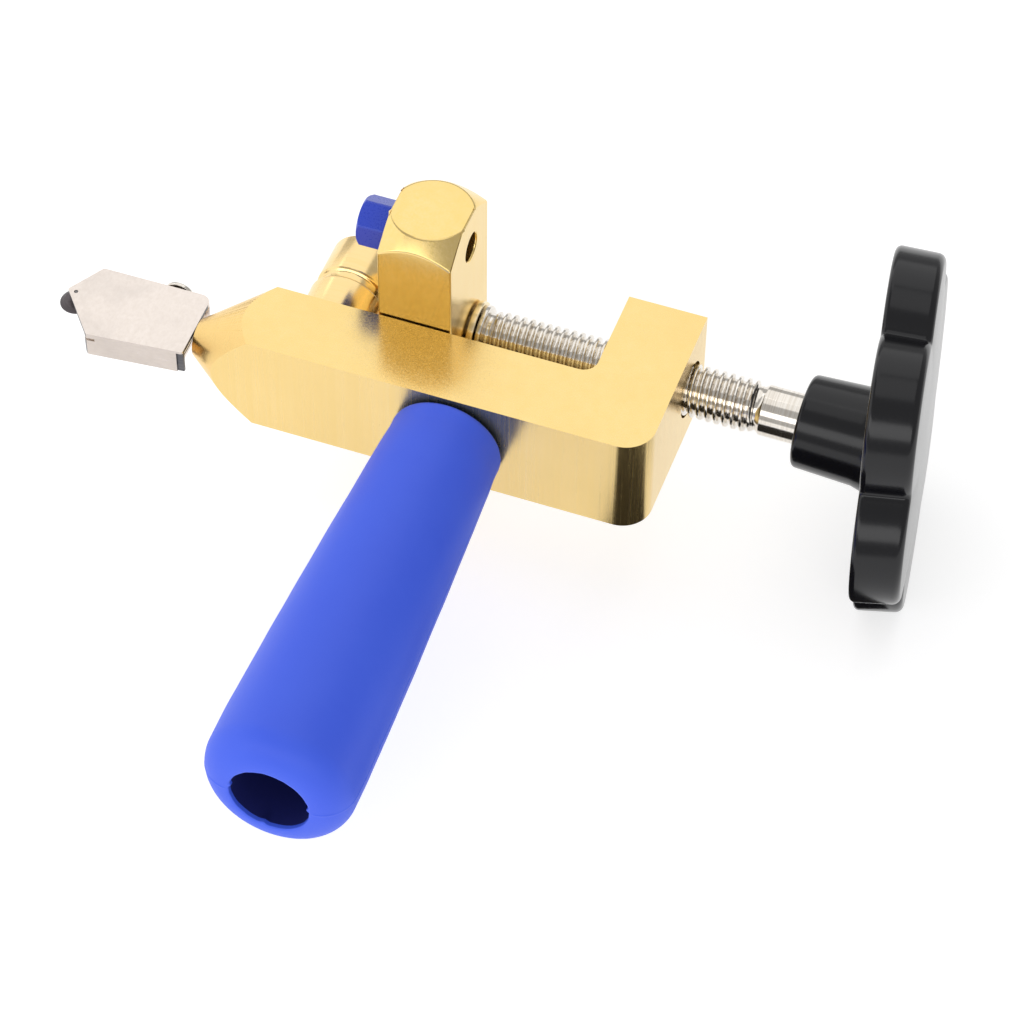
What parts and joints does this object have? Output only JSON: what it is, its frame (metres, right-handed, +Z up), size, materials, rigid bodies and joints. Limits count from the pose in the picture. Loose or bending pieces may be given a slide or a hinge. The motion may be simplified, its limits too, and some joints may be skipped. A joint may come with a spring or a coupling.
{
  "type": "glass cutter",
  "caption": "Hand-held glass and tile cutter: gold bar with swivelling wheel head, screw-driven breaking jaw and anvil, blue grip and black star knob.",
  "frame": {"origin": "centre of the footprint at the height of the lowest point, the knob's lowest lobes", "axes": "+X along the bar from the cutting wheel to the knob, +Y away from the grip, +Z up, square to the bar's flat top"},
  "size_m": [0.155, 0.1396, 0.0617],
  "materials": {
    "gold_anodised": "satin gold anodised, fine brushed",
    "pale_gold": "turned, pale gold",
    "blue_rubber": "matt moulded rubber",
    "blue_plastic": "moulded",
    "black_plastic": "glossy moulded",
    "chrome": "bright plated thread",
    "steel": "plain machined",
    "satin_nickel": "satin nickel plated sheet",
    "carbide": "dark ground carbide"
  },
  "bodies": {
    "frame": {"frame_body": "gold_anodised", "handle_core": "steel", "handle_grip": "blue_rubber", "anvil": "gold_anodised", "anvil_screw": "steel", "stem_grub_screw": "steel"},
    "jaw": {"jaw_block": "gold_anodised", "upper_pad": "blue_plastic", "lower_pad": "blue_plastic", "thrust_ring": "pale_gold"},
    "screw": {"feed_screw": "chrome", "retaining_clip": "steel", "star_knob": "black_plastic"},
    "cutter_head": {"head_shell": "satin_nickel", "head_base": "satin_nickel", "head_core": "pale_gold", "head_stem": "steel", "head_clamp_screw": "chrome", "wheel_axle": "steel"},
    "wheel": {"cutting_wheel": "carbide"}
  },
  "joints": [
    {"name": "jaw_slide", "type": "slide", "parent": "frame", "child": "jaw", "axis": [1, 0, 0], "range_m": [-0.0022, 0.022]},
    {"name": "screw_turn", "type": "hinge", "parent": "jaw", "child": "screw", "pos_m": [0.03153, 0.03465, 0.03034], "axis": [1, 0, 0], "range_deg": [-527, 5279]},
    {"name": "head_swivel", "type": "hinge", "parent": "frame", "child": "cutter_head", "pos_m": [-0.05137, 0.01682, 0.03034], "axis": [1, 0, 0], "range_deg": [-10, 10]},
    {"name": "wheel_spin", "type": "hinge", "parent": "cutter_head", "child": "wheel", "pos_m": [-0.07447, 0.0172, 0.03034], "axis": [0, 0, 1], "continuous": true}
  ],
  "couplings": [
    {"joint": "jaw_slide", "follows": "screw_turn", "m_per_rad": 0.00023873}
  ]
}
